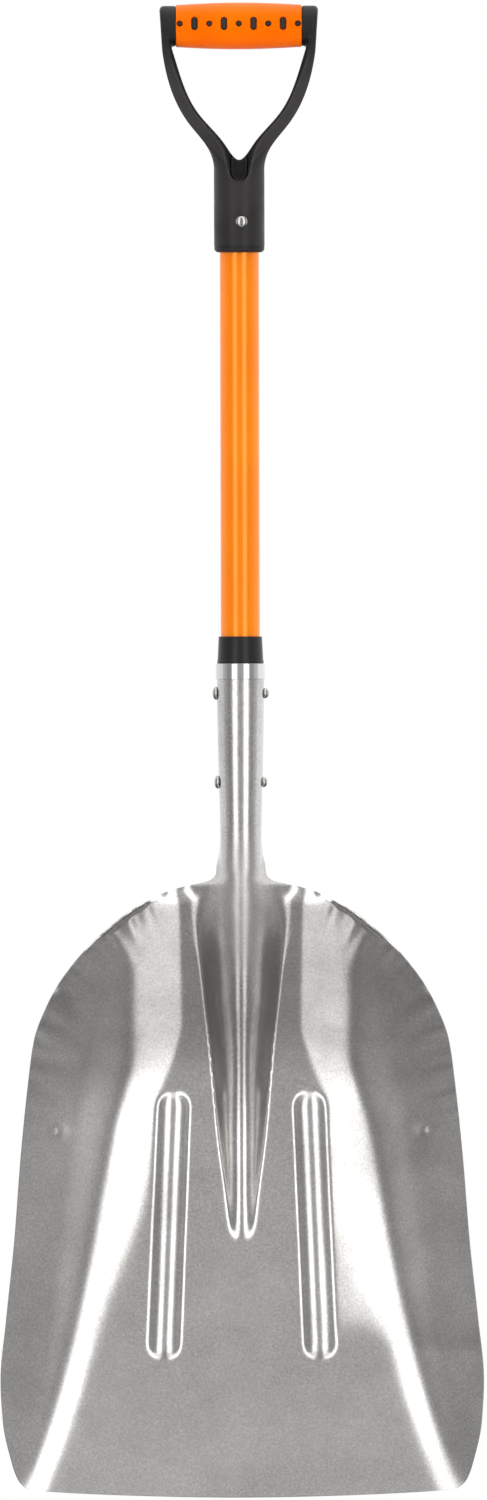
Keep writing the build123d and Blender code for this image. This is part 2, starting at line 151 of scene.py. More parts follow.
# Lip of the sheet beside the neck, turned back: its slope is steepest at two pads on each side,
# between the two heights of the fold.
LIP_SLOPE = 0.66
LIP_REST_SLOPE = 0.40
LIP_FOLD = (483.5, 489.0)
LIP_ROUND = 3.2
# The gap between those pads: where it is, how wide, and how much weaker the fold is there.
LIP_GAP_X = 49.0
LIP_GAP_WIDTH = 5.0
LIP_GAP_SHARE = 0.3
# Distances from the middle line between which the pads and the whole lip come in and go out.
LIP_PADS_IN = (32.0, 40.0)
LIP_PADS_OUT = (66.0, 58.0)
LIP_IN = (28.0, 52.0)
LIP_OUT = (88.0, 66.0)
# All gathers fade in between these distances from the middle line.
GATHER_FADE = (52.0, 92.0)
# Curl of the rear rim: width, roundness, slope, and the heights where it comes in and goes out.
RIM_CURL_WIDTH = 5.5
RIM_CURL_ROUND = 1.5
RIM_CURL_SLOPE = 0.55
RIM_CURL_IN = (430.0, 470.0)
RIM_CURL_OUT = (486.0, 478.0)


def ramp(t, width):
    return (t + np.sqrt(t * t + width * width)) / 2


def smooth(t):
    t = np.clip(t, 0, 1)
    return t * t * (3 - 2 * t)


def fade(value, start, end):
    """0 at start and 1 at end, eased between them and level past both; start may be the larger."""
    return smooth((value - start) / (end - start))


def station(z, table):
    """Smooth value of a station table at each height, held level past both ends."""
    places = np.array([p for p, _ in table], float)
    values = np.array([v for _, v in table], float)
    slopes = np.diff(values) / np.diff(places)
    before = np.concatenate([slopes[:1], slopes])
    after = np.concatenate([slopes, slopes[-1:]])
    same = before * after > 0
    tangents = np.where(same, 2 * before * after / np.where(same, before + after, 1), 0)
    z = np.clip(np.asarray(z, float), places[0], places[-1])
    index = np.clip(np.searchsorted(places, z, side="right") - 1, 0, len(slopes) - 1)
    gap = places[index + 1] - places[index]
    t = (z - places[index]) / gap
    rise = (values[index + 1] - values[index]) * t * t * (3 - 2 * t)
    bend = tangents[index] * (1 - t) - tangents[index + 1] * t
    return values[index] + rise + gap * t * (1 - t) * bend


def bowl_y(x, z):
    """Face of the bowl before the frog and ribs are pressed into it."""
    out = np.abs(x)
    fold = station(z, INNER_FOLD)
    fold_round = station(z, INNER_ROUND)
    wall = INNER_WALL_SLOPE * ramp(out - fold, fold_round)
    wall = wall + station(z, OUTER_WALL_SLOPE) * ramp(out - station(z, OUTER_FOLD), OUTER_WALL_ROUND)
    wall = wall - station(z, CREASE_EASE) * ramp(out - station(z, CREASE_LINE), CREASE_ROUND)
    early = ramp(x - RIGHT_EASE_X, RIGHT_EASE_ROUND) - ramp(x - fold, fold_round)
    wall = wall + station(z, RIGHT_EASE) * np.maximum(early, 0)
    rear = REAR_SLOPE * ramp(z - HEEL_Z, HEEL_ROUND)
    shoulder = SHOULDER_SLOPE * ramp(z - SHOULDER_Z, SHOULDER_ROUND)
    return FLOOR_TIP_Y + FLOOR_LIFT * z - wall - rear + shoulder


def frog_rise(x, z):
    """Height of the hollow ridge that runs down from the socket."""
    share = 1 - (x / station(z, FROG_HALF_WIDTH)) ** 2
    full = np.maximum(share, 1e-9) ** station(z, FROG_FULLNESS)
    share = np.where(share > 0, full, share)
    fade = FROG_TIP_SLOPE * ramp(FROG_TIP_Z - z, FROG_TIP_ROUND)
    return ramp(station(z, FROG_HEIGHT) * share - fade, station(z, FROG_FILLET))


def rib_rise(x, z):
    """Height of the pair of straight ribs, measured from their centre lines."""
    run_x = RIB_BOTTOM[0] - RIB_TOP[0]
    run_z = RIB_BOTTOM[1] - RIB_TOP[1]
    off_x = np.abs(x) - RIB_TOP[0]
    off_z = z - RIB_TOP[1]
    along = np.clip((off_x * run_x + off_z * run_z) / (run_x ** 2 + run_z ** 2), 0, 1)
    gap = (off_x - along * run_x) ** 2 + (off_z - along * run_z) ** 2
    return ramp(RIB_HEIGHT * (1 - gap / RIB_HALF_WIDTH ** 2), RIB_FILLET)


def gather(out, z, rim_x, rim_z, lean, length, width, depth):
    """One gather that runs in from the rim, as a ridge beside a groove."""
    turn = math.radians(lean)
    along = (rim_x - out) * math.cos(turn) + (rim_z - z) * math.sin(turn)
    across = (rim_x - out) * math.sin(turn) - (rim_z - z) * math.cos(turn)
    shape = (across / width) * np.exp(0.5 - (across / width) ** 2 / 2)
    return depth * shape * smooth(1 - along / length) * smooth(1 + along / WRINKLE_BEFORE_RIM)


def wrinkle_rise(x, z):
    """Small gathers in the sheet that run in from the rim of both rear shoulders."""
    rise = np.zeros(np.shape(x))
    for wrinkle in WRINKLES:
        rise += gather(np.abs(x), z, *wrinkle)
    draws = np.random.default_rng(FINE_WRINKLE_SEED)
    size_limits = (FINE_WRINKLE_LENGTH, FINE_WRINKLE_WIDTH, FINE_WRINKLE_DEPTH)
    for side in (-1, 1):
        for i in range(FINE_WRINKLE_COUNT):
            share = (i + draws.uniform(0.1, 0.9)) / FINE_WRINKLE_COUNT
            rim_z = FINE_WRINKLE_Z[0] + share * (FINE_WRINKLE_Z[1] - FINE_WRINKLE_Z[0])
            lean = FINE_WRINKLE_LEAN[0] + share ** 2 * (FINE_WRINKLE_LEAN[1] - FINE_WRINKLE_LEAN[0])
            size = [draws.uniform(*limits) for limits in size_limits]
            rise += gather(side * x, z, float(station(rim_z, HALF_WIDTH)), rim_z, lean, *size)
    return rise * fade(np.abs(x), *GATHER_FADE)


def press_marks(x, z, half):
    """Dimples on the side walls, wrinkles, the curled rear rim and the lip beside the neck."""
    out = np.abs(x)
    off = (out - DIMPLE[0]) ** 2 + (z - DIMPLE[1]) ** 2
    marks = DIMPLE_HEIGHT * np.exp(-off / (2 * DIMPLE_SPREAD ** 2)) + wrinkle_rise(x, z)
    curl = RIM_CURL_SLOPE * ramp(RIM_CURL_WIDTH - (half - out), RIM_CURL_ROUND)
    marks = marks + curl * fade(z, *RIM_CURL_IN) * fade(z, *RIM_CURL_OUT)
    pads = 1 - LIP_GAP_SHARE * np.exp(-((out - LIP_GAP_X) / LIP_GAP_WIDTH) ** 2)
    pads = pads * fade(out, *LIP_PADS_IN) * fade(out, *LIP_PADS_OUT)
    past_low = ramp(z - LIP_FOLD[0], LIP_ROUND)
    past_high = ramp(z - LIP_FOLD[1], LIP_ROUND)
    lip = LIP_REST_SLOPE * past_low + pads * (LIP_SLOPE - LIP_REST_SLOPE) * (past_low - past_high)
    return marks - lip * fade(out, *LIP_IN) * fade(out, *LIP_OUT)


def bowl_points(s, z):
    """Front face of the bowl at each share s across the sheet, from -1 to 1, and height z."""
    half = station(z, HALF_WIDTH)
    spread = SHEET_EVEN * s + (1 - SHEET_EVEN) * s ** 3
    x = half * spread
    z = z + EDGE_BOW * spread ** 2 * np.clip(1 - z / EDGE_BOW_FADE_Z, 0, 1) ** 2
    y = bowl_y(x, z) - frog_rise(x, z) - rib_rise(x, z) - press_marks(x, z, half)
    return np.stack([x, y, z], -1)


def rolled_points(s, z):
    """Rolled socket: a front half circle, then a flap that curls behind it on each side."""
    radius = station(z, SOCKET_RADII)
    quarter = radius * math.pi / 2
    along = np.abs(s) * quarter * (1 + station(z, FLAP_LENGTH))
    curl = station(z, FLAP_CURL) / radius
    curl = np.where(np.abs(curl) < LEAST_CURL, LEAST_CURL, curl)
    turn = curl * (along - quarter)
    front = along <= quarter
    x = np.where(front, radius * np.sin(along / radius), radius - (1 - np.cos(turn)) / curl)
    y = np.where(front, -radius * np.cos(along / radius), np.sin(turn) / curl)
    return np.stack([np.sign(s) * x, y, z], -1)


def sheet_points(s, z):
    share = fade(z, ROLL_START_Z, ROLL_END_Z)[..., None]
    return bowl_points(s, np.minimum(z, ROLL_END_Z)) * (1 - share) + rolled_points(s, z) * share


def sheet_rows():
    """Heights of the rows, spaced evenly along the outline of the sheet."""
    fine = np.linspace(0, SOCKET_TOP_Z, OUTLINE_SAMPLES)
    steps = np.hypot(np.diff(fine), np.diff(station(fine, HALF_WIDTH)))
    travel = np.concatenate([[0], np.cumsum(steps)])
    return np.interp(np.linspace(0, travel[-1], SHEET_ROWS + 1), travel, fine)


def grid_normals(points):
    across = np.gradient(points, axis=1)
    along = np.gradient(points, axis=0)
    normals = np.cross(along, across)
    return normals / np.maximum(np.linalg.norm(normals, axis=-1, keepdims=True), 1e-9)


def grid_faces(rows, columns, start, flip):
    """Quads of a grid of points numbered row by row from start."""
    faces = []
    for row in range(rows - 1):
        for column in range(columns - 1):
            a = start + row * columns + column
            quad = (a, a + 1, a + columns + 1, a + columns)
            faces.append(quad[::-1] if flip else quad)
    return faces


def ring_faces(rows, columns, closed=False):
    """Quads between closed rings of points; the last ring also joins the first if closed."""
    faces = []
    for row in range(rows if closed else rows - 1):
        here = row * columns
        above = (row + 1) % rows * columns
        for column in range(columns):
            after = (column + 1) % columns
            faces.append((here + column, here + after, above + after, above + column))
    return faces


def placed(name, data):
    """New object with this data, linked to the scene."""
    piece = bpy.data.objects.new(name, data)
    bpy.context.scene.collection.objects.link(piece)
    return piece


def make_mesh(name, points, faces, material, replaced):
    """A finished piece, smooth shaded, that rides on the one body of the shovel."""
    mesh = bpy.data.meshes.new(name)
    mesh.from_pydata([tuple(p) for p in np.asarray(points) * MM], [], faces)
    mesh.validate()
    mesh.update()
    mesh.polygons.foreach_set("use_smooth", [True] * len(mesh.polygons))
    mesh.set_sharp_from_angle(angle=SHARP_ANGLE)
    piece = placed(name, mesh)
    finish_piece(piece, material, replaced)
    return piece


def finish_piece(piece, material, replaced):
    piece.data.materials.clear()
    piece.data.materials.append(material)
    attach(piece, "root")
    if replaced:
        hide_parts(replaced)


def rim_of(rows, columns):
    """Grid positions round the border, once round, in order."""
    border = [(0, c) for c in range(columns)]
    border += [(r, columns - 1) for r in range(1, rows)]
    border += [(rows - 1, c) for c in range(columns - 2, -1, -1)]
    border += [(r, 0) for r in range(rows - 2, 0, -1)]
    return border


def build_blade(material):
    """Front and back of the sheet, joined round the border by a rounded edge."""
    z, s = np.meshgrid(sheet_rows(), np.linspace(-1, 1, SHEET_COLUMNS + 1), indexing="ij")
    front = sheet_points(s, z)
    back = front + grid_normals(front) * SHEET
    rows, columns = z.shape
    count = rows * columns
    points = [front.reshape(-1, 3), back.reshape(-1, 3)]
    faces = grid_faces(rows, columns, 0, False) + grid_faces(rows, columns, count, True)
    border = rim_of(rows, columns)
    ids = [r * columns + c for r, c in border]
    edge = np.array([front[r, c] for r, c in border])
    middle = np.array([(front[r, c] + back[r, c]) / 2 for r, c in border])
    inner = [(min(max(r, 1), rows - 2), min(max(c, 1), columns - 2)) for r, c in border]
    outward = edge - np.array([front[r, c] for r, c in inner])
    outward = outward / np.maximum(np.linalg.norm(outward, axis=1, keepdims=True), 1e-9)
    points.append(middle + outward * RIM_BULGE)
    total = len(ids)
    for i in range(total):
        j = (i + 1) % total
        faces.append((ids[j], ids[i], 2 * count + i, 2 * count + j))
        faces.append((2 * count + j, 2 * count + i, count + ids[i], count + ids[j]))
    return make_mesh("blade_sheet", np.concatenate(points), faces, material, "blade")


# ---- turned pieces -------------------------------------------------------------------------
# How far from its corner the extra point beside each arc sits, as a share of the arc's reach.
PAST_ARC = 1.5


def turned(profile, steps, origin, along):
    """Closed ring of profile points (radius, travel) turned about an axis through origin."""
    along = Vector(along).normalized()
    side = along.orthogonal().normalized()
    other = along.cross(side)
    points = []
    for step in range(steps):
        turn = 2 * math.pi * step / steps
        out = side * math.cos(turn) + other * math.sin(turn)
        points += [Vector(origin) + along * travel + out * radius for radius, travel in profile]
    return np.array([tuple(p) for p in points]), ring_faces(steps, len(profile), closed=True)


def rounded_outline(corners, steps=6):
    """Closed outline whose corners (u, v, radius) are rounded, with a point just past each arc."""
    outline = []
    count = len(corners)
    for i, (u, v, radius) in enumerate(corners):
        here = np.array([u, v], float)
        if radius <= 0:
            outline.append(tuple(here))
            continue
        to_last = np.array(corners[i - 1][:2]) - here
        to_next = np.array(corners[(i + 1) % count][:2]) - here
        to_last = to_last / np.linalg.norm(to_last)
        to_next = to_next / np.linalg.norm(to_next)
        half = math.acos(np.clip(np.dot(to_last, to_next), -1, 1)) / 2
        reach = radius / math.tan(half)
        centre = here + (to_last + to_next) / np.linalg.norm(to_last + to_next) * radius / math.sin(half)
        first = here + to_last * reach - centre
        last = here + to_next * reach - centre
        sweep = math.atan2(first[0] * last[1] - first[1] * last[0], np.dot(first, last))
        outline.append(tuple(here + to_last * reach * PAST_ARC))
        for step in range(steps + 1):
            turn = sweep * step / steps
            c, s = math.cos(turn), math.sin(turn)
            outline.append(tuple(centre + (first[0] * c - first[1] * s, first[0] * s + first[1] * c)))
        outline.append(tuple(here + to_next * reach * PAST_ARC))
    return outline


# ---- shaft, ring, collar -------------------------------------------------------------------
SHAFT_R = 15.9
SHAFT_WALL = 3.2
SHAFT_BOTTOM_Z = 568.0
SHAFT_TOP_Z = 1058.0
SHAFT_CORNER = 0.8
TURN_STEPS = 96
UP = (0, 0, 1)
ACROSS = (1, 0, 0)
INWARD = (0, 1, 0)
CENTRE = (0, 0, 0)
RING_BOTTOM_Z = 662.3
RING_OUTER_R = 20.05
RING_CORNER = 0.4
COLLAR_SLEEVE_Z = 600.0
COLLAR_LIP_R = 18.85
COLLAR_LIP_TOP_Z = 677.5
COLLAR_WAIST_R = 18.5
COLLAR_TOP_R = 17.6
COLLAR_TOP_Z = 697.0
FIT_GAP = 0.1
BORE_GAP = 0.02


def build_shaft(material):
    inner = SHAFT_R - SHAFT_WALL
    profile = rounded_outline([
        (inner, SHAFT_BOTTOM_Z, 0), (SHAFT_R, SHAFT_BOTTOM_Z, SHAFT_CORNER),
        (SHAFT_R, SHAFT_TOP_Z, SHAFT_CORNER), (inner, SHAFT_TOP_Z, 0),
    ])
    points, faces = turned(profile, TURN_STEPS, CENTRE, UP)
    return make_mesh("shaft_tube", points, faces, material, "shaft")


def build_ring(material):
    """Short rolled band with a soft outer edge, pressed over the mouth of the socket."""
    inner = SOCKET_RADII[-1][1] + FIT_GAP
    profile = rounded_outline([
        (inner, RING_BOTTOM_Z, 0), (RING_OUTER_R, RING_BOTTOM_Z, RING_CORNER),
        (RING_OUTER_R, SOCKET_TOP_Z, RING_CORNER), (inner, SOCKET_TOP_Z, 0),
    ])
    points, faces = turned(profile, TURN_STEPS, CENTRE, UP)
    return make_mesh("mouth_ring", points, faces, material, "socket_ring")


def build_collar(material):
    """Wedge collar: a sleeve inside the socket, a lip on its mouth and a taper up to the shaft."""
    inside = SHEET + FIT_GAP
    bore = SHAFT_R + BORE_GAP
    sleeve = float(station(COLLAR_SLEEVE_Z, SOCKET_RADII)) - inside
    profile = rounded_outline([
        (bore, COLLAR_SLEEVE_Z, 0), (sleeve, COLLAR_SLEEVE_Z, 0),
        (SOCKET_RADII[-1][1] - inside, SOCKET_TOP_Z, 0), (COLLAR_LIP_R, SOCKET_TOP_Z + 0.05, 0.2),
        (COLLAR_LIP_R, COLLAR_LIP_TOP_Z, 0.5), (COLLAR_WAIST_R, COLLAR_LIP_TOP_Z + 0.3, 0.2),
        (COLLAR_TOP_R, COLLAR_TOP_Z, 0.6), (bore, COLLAR_TOP_Z, 0),
    ])
    points, faces = turned(profile, TURN_STEPS, CENTRE, UP)
    return make_mesh("wedge_collar", points, faces, material, "socket_collar")


# ---- rivets --------------------------------------------------------------------------------
SHANK_R = 2.6
# Rivets of the socket, as (Z, distance from the axis to the seat of each head).
SOCKET_RIVETS = [(579.0, 17.85), (651.0, 19.15)]
# Each kind of head, as (radius, height, fullness of its crown).
TRUSS_HEAD = (5.3, 3.6, 0.8)
DOME_HEAD = (4.2, 3.9, 0.9)
HANDLE_HEAD = (4.85, 3.0, 0.9)
HANDLE_RIVET_X = 1.8
HANDLE_RIVET_Z = 1033.0
HEAD_LAND = 0.5
HEAD_SEAT_SHARE = 0.97
HEAD_TIP_R = 0.01
HEAD_STEPS = 12
RIVET_STEPS = 48


def head_profile(reach, radius, height, fullness):
    """Rim and crown of one rivet head, from its seat out to its tip."""
    seat = [(SHANK_R, reach), (radius * HEAD_SEAT_SHARE, reach), (radius, reach + HEAD_LAND * 0.5)]
    crown = []
    for step in range(HEAD_STEPS):
        turn = math.pi / 2 * step / HEAD_STEPS
        travel = reach + HEAD_LAND + (height - HEAD_LAND) * math.sin(turn)
        crown.append((radius * math.cos(turn) ** fullness, travel))
    return seat + crown + [(HEAD_TIP_R, reach + height)]


def rivet_mesh(origin, along, reach, first_head, second_head):
    """Both heads and the shank of one rivet, turned about the line through origin."""
    right = head_profile(reach, *second_head)
    left = [(radius, -travel) for radius, travel in head_profile(reach, *first_head)]
    return turned(left[::-1] + right, RIVET_STEPS, origin, along)


def joined(parts):
    points, faces, start = [], [], 0
    for more_points, more_faces in parts:
        points.append(more_points)
        faces += [tuple(start + i for i in face) for face in more_faces]
        start += len(more_points)
    return np.concatenate(points), faces


def build_rivets(material):
    pair = []
    for z, reach in SOCKET_RIVETS:
        pair.append(rivet_mesh((0, 0, z), ACROSS, reach, TRUSS_HEAD, DOME_HEAD))
    points, faces = joined(pair)
    make_mesh("socket_rivet_pair", points, faces, material, "socket_rivets")
    origin = (HANDLE_RIVET_X, 0, HANDLE_RIVET_Z)
    points, faces = rivet_mesh(origin, INWARD, HANDLE_SOCKET_R, HANDLE_HEAD, HANDLE_HEAD)
    make_mesh("yoke_rivet", points, faces, material, "handle_rivet")


# ---- D handle ------------------------------------------------------------------------------
HANDLE_SOCKET_R = 20.5
GRIP_Z = 1191.5
GRIP_HALF = 51.0
CORE_R = 13.0
GRIP_END_R = 17.0
GRIP_MID_R = 18.9
STUD_RISE = 2.0
STUD_PITCH = 11.95
STUD_COUNT = 9
STUD_R = 2.5
SLOT_LENGTH = 10.8
SLOT_WIDTH = 5.3
PIT_DEPTH = 1.3
PIT_WALL = 0.35
PIT_LIP = 0.28
PIT_LIP_WIDTH = 0.5
# Gap given where there is no stud, and the least cosine of the turn at which studs can be.
FAR_GAP = 99.0
FRONT_COSINE = 0.5
# The barrel's rows, and its steps round: fine within this many degrees of the front, then coarse.
GRIP_ROWS = 331
GRIP_FRONT_TURN = 24
GRIP_FRONT_STEPS = 61
GRIP_BACK_STEPS = 105
# Soft bead near both ends of the barrel: height, distance from the end, width.
GRIP_BEAD = (0.12, 1.6, 0.8)
# How far short of the grip's ends the barrel's full rows stop and its rounded ends begin.
GRIP_LAND = 0.6
# Rings of the barrel's ends, as (inset from the outer radius, run past the land).
GRIP_END_RINGS = [(0.15, 0.3), (0.5, 0.52), (1.2, 0.6), (GRIP_END_R - CORE_R - 0.02, 0.6)]
STUD_GAP = 0.3
STUD_BELOW = 0.55
STUD_DOME = 0.45
STUD_TURN = 7.5
# Rings of a stud's wall, as (share of its radius, depth below its top), then those of its crown.
STUD_WALL = [(1.0, 4.0), (1.0, 0.6), (0.97, 0.25), (0.88, 0.06)]
STUD_CROWN = (0.7, 0.5, 0.3, 0.1)
STUD_CROWN_LEVEL = 0.8
STUD_CROWN_RISE = 0.6
# How dark the painted shade makes each ring of a stud, from its foot to the middle of its top: dark round its
# rim, light in its middle.
STUD_PAINTED_SHADE = (1.0, 1.0, 1.0, 0.95, 0.6, 0.15, 0.0, 0.0)
YOKE_VOXEL = 0.8
YOKE_SOFTENING = 8
YOKE_SOFT_FACTOR = 0.5
# Where the front face of the yoke ends and turns in to the window and the pocket, as (Z, |X|).
FACE_EDGE = [
    (1066, 4.8), (1072, 8.0), (1081.5, 10.2), (1091, 12.6), (1101, 18.6), (1112, 28), (1125, 38.2),
    (1160, 53.2), (1184, 60.5),
]
# The bevel inside that edge: slope, where it starts, how softly, and its greatest depth.
FACE_BEVEL = 0.5
FACE_BEVEL_START = 0.4
FACE_BEVEL_ROUND = 0.5
FACE_BEVEL_DEEPEST = 9.0
FACE_BEAD = 0.2
FACE_BEAD_WIDTH = 1.3
# Heights where the bevel comes in and goes out.
FACE_FADE_Z = (1064.0, 1070.0)
FACE_TOP_Z = (1180.0, 1166.0)
# Distances from the middle plane between which the bevel comes in, so that it cuts only the faces.
FACE_DEPTH = (8.5, 10.5)
HUB_R = 16.4
HUB_ROUND = 4.0
HUB_ROUND_BELOW_GRIP = 6.0
# Outer ends of the hubs, as (Z, |X|).
HUB_END = [(1160, 61.4), (1211, 64.7)]
SOCKET_LINE_Z = 1012.4
SOCKET_LINE_DEPTH = 0.25
SOCKET_LINE_WIDTH = 0.7
SOCKET_LINE_SKIN = 1.5
# Painted shade and painted highlight on the yoke: strengths, spreads in millimetres, and heights (Z) where
# they come and go. The bevel, hub and seam values give painted shade; the bead and face values give painted
# highlight.
TONE_BEVEL_SPREAD = 0.9
TONE_BEVEL_START = 0.3
TONE_BEVEL_IN = (1062.0, 1070.0)
TONE_BEVEL_OUT = (1186.0, 1178.0)
TONE_HUBS = 0.55
TONE_HUBS_IN = (1158.0, 1180.0)
TONE_SEAM = 0.8
TONE_SEAM_SPREAD = 1.4
TONE_BEAD_OUTSIDE = 0.7
TONE_BEAD_WIDTH = 0.6
TONE_BEAD_IN = (1066.0, 1072.0)
TONE_BEAD_OUT = (1170.0, 1158.0)
TONE_FACE = 0.35
TONE_FACE_OUTSIDE = 0.5
TONE_FACE_IN = (1090.0, 1110.0)
TONE_FACE_OUT = (1165.0, 1140.0)


def inside_face(x, z):
    """Distance from the edge of the yoke's front face in toward the opening, negative on the face."""
    edge = station(z, FACE_EDGE)
    lean = (station(z + 1, FACE_EDGE) - station(z - 1, FACE_EDGE)) / 2
    return (edge - np.abs(x)) / np.sqrt(1 + lean * lean)


def round_hubs(points):
    """Rounds the outer rim of both hubs."""
    x, y, z = points[:, 0], points[:, 1], points[:, 2]
    (low_z, low_x), (high_z, high_x) = HUB_END
    end = low_x + (z - low_z) * (high_x - low_x) / (high_z - low_z)
    spread = np.maximum(np.hypot(y, z - GRIP_Z), 1)
    past_end = np.abs(x) - (end - HUB_ROUND)
    past_side = np.where(z > GRIP_Z - HUB_ROUND_BELOW_GRIP, spread - (HUB_R - HUB_ROUND), 0)
    corner = np.hypot(past_end, past_side)
    rounding = (past_end > 0) & (past_side > 0) & (corner > HUB_ROUND)
    share = np.where(rounding, HUB_ROUND / np.maximum(corner, 1e-6), 1)
    new_spread = np.where(share < 1, HUB_R - HUB_ROUND + past_side * share, spread)
    rounded = points.copy()
    rounded[:, 0] = np.where(share < 1, np.sign(x) * (end - HUB_ROUND + past_end * share), x)
    rounded[:, 1] = y * new_spread / spread
    rounded[:, 2] = GRIP_Z + (z - GRIP_Z) * new_spread / spread
    return rounded


def shape_yoke(points):
    """Bevels the inner edges of the arms and of the pocket, and leaves a fine bead along them."""
    x, y, z = points[:, 0], points[:, 1], points[:, 2]
    inside = inside_face(x, z)
    where = fade(z, *FACE_FADE_Z) * fade(z, *FACE_TOP_Z)
    face = fade(np.abs(y), *FACE_DEPTH)
    bevel = FACE_BEVEL * ramp(inside - FACE_BEVEL_START, FACE_BEVEL_ROUND)
    cut = np.minimum(bevel, FACE_BEVEL_DEEPEST) - FACE_BEAD * np.exp(-(inside / FACE_BEAD_WIDTH) ** 2)
    line = SOCKET_LINE_DEPTH * np.exp(-((z - SOCKET_LINE_Z) / SOCKET_LINE_WIDTH) ** 2)
    spread = np.maximum(np.hypot(x, y), 1)
    outside = smooth(spread - HANDLE_SOCKET_R + SOCKET_LINE_SKIN)
    moved = points.copy()
    moved[:, 1] = y - np.sign(y) * cut * where * face
    moved[:, 0] -= x / spread * line * outside
    moved[:, 1] -= y / spread * line * outside
    return round_hubs(moved)


def yoke_painted_light(points):
    """How dark the painted shade and how light the painted highlight are at each point of the yoke, from 0 to
    1.
    """
    z = points[:, 2]
    inside = inside_face(points[:, 0], z)
    arms = fade(z, *TONE_BEVEL_IN) * fade(z, *TONE_BEVEL_OUT)
    bevel = smooth(inside / TONE_BEVEL_SPREAD + TONE_BEVEL_START) * arms
    hubs = TONE_HUBS * fade(z, *TONE_HUBS_IN)
    seam = TONE_SEAM * np.exp(-((z - SOCKET_LINE_Z) / (TONE_SEAM_SPREAD * SOCKET_LINE_WIDTH)) ** 2)
    painted_shade = np.maximum(np.maximum(bevel, hubs), seam)
    bead = np.exp(-((inside + TONE_BEAD_OUTSIDE) / TONE_BEAD_WIDTH) ** 2)
    bead = bead * fade(z, *TONE_BEAD_IN) * fade(z, *TONE_BEAD_OUT)
    face = TONE_FACE * fade(z, *TONE_FACE_IN) * fade(z, *TONE_FACE_OUT)
    face = face * smooth(-inside - TONE_FACE_OUTSIDE)
    return painted_shade, np.maximum(bead, face) * (1 - painted_shade)


def set_tone(mesh, name, values):
    tone = mesh.attributes.new(name, "FLOAT", "POINT")
    tone.data.foreach_set("value", np.asarray(values, np.float32))


def build_yoke(material):
    """The moulded yoke: the CAD shape, evenly meshed, with its edges softened and bevelled."""
    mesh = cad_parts["d_handle_yoke"].data.copy()
    rough = placed("yoke_rough", mesh)
    even = rough.modifiers.new("even", "REMESH")
    even.mode = "VOXEL"
    even.voxel_size = YOKE_VOXEL * MM
    soft = rough.modifiers.new("soft", "SMOOTH")
    soft.factor = YOKE_SOFT_FACTOR
    soft.iterations = YOKE_SOFTENING
    bpy.context.view_layer.update()
    evaluated = rough.evaluated_get(bpy.context.evaluated_depsgraph_get())
    finished = bpy.data.meshes.new_from_object(evaluated)
    bpy.data.objects.remove(rough)
    points = np.empty(len(finished.vertices) * 3)
    finished.vertices.foreach_get("co", points)
    moved = shape_yoke(points.reshape(-1, 3) / MM)
    finished.vertices.foreach_set("co", (moved * MM).reshape(-1))
    # Painted shade in the bevels, on the hubs and in the socket line; painted highlight along the bead and on
    # the faces.
    painted_shade, painted_highlight = yoke_painted_light(moved)
    set_tone(finished, "painted_shade", painted_shade)
    set_tone(finished, "painted_highlight", painted_highlight)
    finished.update()
    finished.polygons.foreach_set("use_smooth", [True] * len(finished.polygons))
    finished.name = "yoke_moulding"
    piece = placed("yoke_moulding", finished)
    finish_piece(piece, material, "d_handle_yoke")
    return piece


def stud_centres():
    """(x, half the straight length, radius) of each stud: round and upright ones take turns."""
    middle = (STUD_COUNT - 1) / 2
    round_one = (0.0, STUD_R)
    upright_one = ((SLOT_LENGTH - SLOT_WIDTH) / 2, SLOT_WIDTH / 2)
    kinds = [round_one if i % 2 == 0 else upright_one for i in range(STUD_COUNT)]
    return [((i - middle) * STUD_PITCH, *kind) for i, kind in enumerate(kinds)]


def stud_gap(x, z):
    """Distance in the front view to the nearest stud outline, negative inside it."""
    gap = np.full(np.shape(x), FAR_GAP)
    for centre, half_length, radius in stud_centres():
        up = np.maximum(np.abs(z - GRIP_Z - STUD_RISE) - half_length, 0)
        gap = np.minimum(gap, np.hypot(x - centre, up) - radius)
    return gap


def grip_radius(x):
    bow = GRIP_MID_R - GRIP_END_R
    return GRIP_END_R + bow * (1 - (x / GRIP_HALF) ** 2)


def build_grip(material):
    """Barrel sleeve with a pit round every stud and a soft bead at both ends."""
    fine = np.radians(np.linspace(-GRIP_FRONT_TURN, GRIP_FRONT_TURN, GRIP_FRONT_STEPS))
    coarse = np.radians(np.linspace(GRIP_FRONT_TURN, 360 - GRIP_FRONT_TURN, GRIP_BACK_STEPS))[1:-1]
    turns = np.concatenate([fine, coarse])
    run = np.linspace(-GRIP_HALF + GRIP_LAND, GRIP_HALF - GRIP_LAND, GRIP_ROWS)
    x, turn = np.meshgrid(run, turns, indexing="ij")
    bead_rise, bead_in, bead_width = GRIP_BEAD
    radius = grip_radius(x) + bead_rise * np.exp(-((np.abs(x) - GRIP_HALF + bead_in) / bead_width) ** 2)
    z = GRIP_Z + radius * np.sin(turn)
    gap = np.where(np.cos(turn) > FRONT_COSINE, stud_gap(x, z), FAR_GAP)
    pit = smooth(-gap / PIT_WALL + 0.5)
    lip = PIT_LIP * np.exp(-(np.maximum(gap, 0) / PIT_LIP_WIDTH) ** 2) * (1 - pit)
    radius = radius - PIT_DEPTH * pit + lip
    outer = np.stack([x, -radius * np.cos(turn), GRIP_Z + radius * np.sin(turn)], -1)
    ends = []
    for side, row in ((-1, outer[0]), (1, outer[-1])):
        spread = np.hypot(row[:, 1], row[:, 2] - GRIP_Z)
        rings = []
        for inset, run_on in GRIP_END_RINGS:
            share = (spread - inset) / spread
            end_x = np.full(len(row), side * (GRIP_HALF - GRIP_LAND + run_on))
            end_z = GRIP_Z + (row[:, 2] - GRIP_Z) * share
            rings.append(np.stack([end_x, row[:, 1] * share, end_z], -1))
        ends.append(rings)
    rows = ends[0][::-1] + list(outer) + ends[1]
    points = np.array(rows)
    faces = ring_faces(*points.shape[:2], closed=True)
    return make_mesh("grip_barrel", points.reshape(-1, 3), faces, material, "grip_sleeve")


